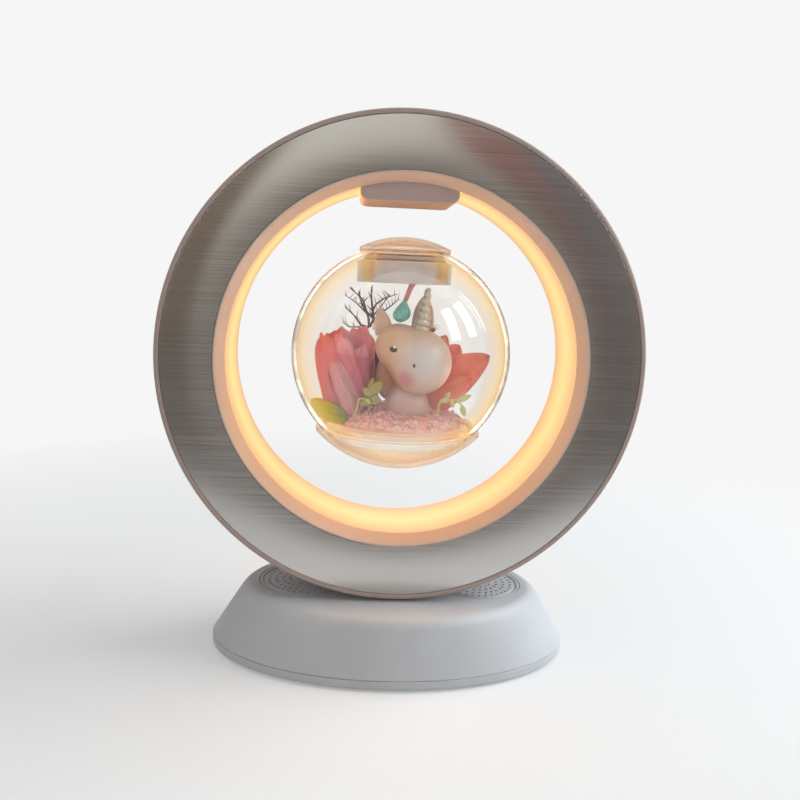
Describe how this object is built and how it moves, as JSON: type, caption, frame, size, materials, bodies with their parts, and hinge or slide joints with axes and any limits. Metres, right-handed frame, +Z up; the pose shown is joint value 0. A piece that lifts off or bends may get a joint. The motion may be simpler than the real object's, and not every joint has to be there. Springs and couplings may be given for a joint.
{
  "type": "levitating flower lamp",
  "caption": "Upright round light ring on an oval speaker base, with a clear flower ball held floating in its middle by a magnet.",
  "frame": {"origin": "on the floor, under the centre of the light ring", "axes": "+Z up; the ring's axis runs along Y, with the front towards -Y and the buttons and power socket towards +Y"},
  "size_m": [0.17, 0.081, 0.1955],
  "materials": {
    "shell_white": "satin, pinkish white moulded half shells, translucent at the inner lips",
    "brushed_plate": "horizontal brushed grain",
    "diffuser": "frosted translucent band, lit from behind in warm yellow",
    "led_strip": "white flexible strip with warm light chips",
    "pod_grey": "satin lavender grey",
    "circuit": "green solder mask",
    "copper": "enamelled copper winding",
    "iron": "dark coated steel",
    "nickel": "bright nickel plate",
    "screw_steel": "zinc plated",
    "base_white": "smooth cool white",
    "speaker_paper": "black pressed paper cone",
    "socket_black": "black moulded socket",
    "foot_rubber": "soft dark rubber",
    "clear_acrylic": "clear polished acrylic",
    "gravel_pink": "fine pink gravel",
    "figure_cream": "painted resin, cream to white",
    "horn_silver": "silver paint",
    "gem_teal": "glossy teal drop",
    "petal_coral": "dry preserved petal, coral",
    "petal_rose": "dry preserved petal, rose pink",
    "leaf_green": "dry preserved leaf, yellow green",
    "twig_brown": "dry purple brown twig"
  },
  "bodies": {
    "lamp": {"ring_front_shell": "shell_white", "ring_rear_shell": "shell_white", "front_face_plate": "brushed_plate", "rear_face_plate": "brushed_plate", "light_diffuser": "diffuser", "led_strip": "led_strip", "magnet_pod": "pod_grey", "hall_sensor_board": "circuit", "coil_bobbin": "pod_grey", "levitation_coil": "copper", "coil_core": "iron", "bias_magnet": "nickel", "ring_screw_1": "screw_steel", "ring_screw_2": "screw_steel", "ring_screw_3": "screw_steel", "ring_screw_4": "screw_steel", "ring_saddle": "base_white", "saddle_screw_front": "screw_steel", "saddle_screw_rear": "screw_steel", "base_shell": "base_white", "base_bottom_cover": "base_white", "speaker_grille_left": "base_white", "speaker_frame_left": "iron", "speaker_cone_left": "speaker_paper", "speaker_magnet_left": "iron", "speaker_grille_right": "base_white", "speaker_frame_right": "iron", "speaker_cone_right": "speaker_paper", "speaker_magnet_right": "iron", "main_board": "circuit", "button_board": "circuit", "power_socket": "socket_black", "rubber_foot_1": "foot_rubber", "rubber_foot_2": "foot_rubber", "rubber_foot_3": "foot_rubber", "rubber_foot_4": "foot_rubber", "cover_screw_1": "screw_steel", "cover_screw_2": "screw_steel", "cover_screw_3": "screw_steel", "cover_screw_4": "screw_steel"},
    "float_magnet": {"float_magnet": "nickel"},
    "ball": {"ball_shell": "clear_acrylic", "ball_top_cap": "clear_acrylic", "ball_bottom_cap": "clear_acrylic", "ball_floor": "clear_acrylic", "magnet_holder": "pod_grey", "gravel_bed": "gravel_pink", "figure_body": "figure_cream", "figure_head": "figure_cream", "figure_horn": "horn_silver", "figure_gem": "gem_teal", "figure_plume": "petal_coral", "rose_bloom": "petal_rose", "coral_petals": "petal_coral", "rose_leaf": "leaf_green", "green_sprig": "leaf_green", "dried_twig": "twig_brown"},
    "button_minus": {"button_minus": "base_white"},
    "button_power": {"button_power": "base_white"},
    "button_plus": {"button_plus": "base_white"}
  },
  "joints": [
    {"name": "ball_lift_out", "type": "slide", "parent": "lamp", "child": "float_magnet", "axis": [0, -1, 0], "range_m": [-0.12, 0.12]},
    {"name": "ball_spin", "type": "hinge", "parent": "float_magnet", "child": "ball", "pos_m": [0, 0, 0.1125], "axis": [0, 0, 1], "continuous": true},
    {"name": "press_minus", "type": "slide", "parent": "lamp", "child": "button_minus", "axis": [0, -1, 0], "range_m": [0, 0.0006], "stiffness_N_per_m": 2500, "springref_m": -0.0004},
    {"name": "press_power", "type": "slide", "parent": "lamp", "child": "button_power", "axis": [0, -1, 0], "range_m": [0, 0.0006], "stiffness_N_per_m": 2500, "springref_m": -0.0004},
    {"name": "press_plus", "type": "slide", "parent": "lamp", "child": "button_plus", "axis": [0, -1, 0], "range_m": [0, 0.0006], "stiffness_N_per_m": 2500, "springref_m": -0.0004}
  ]
}
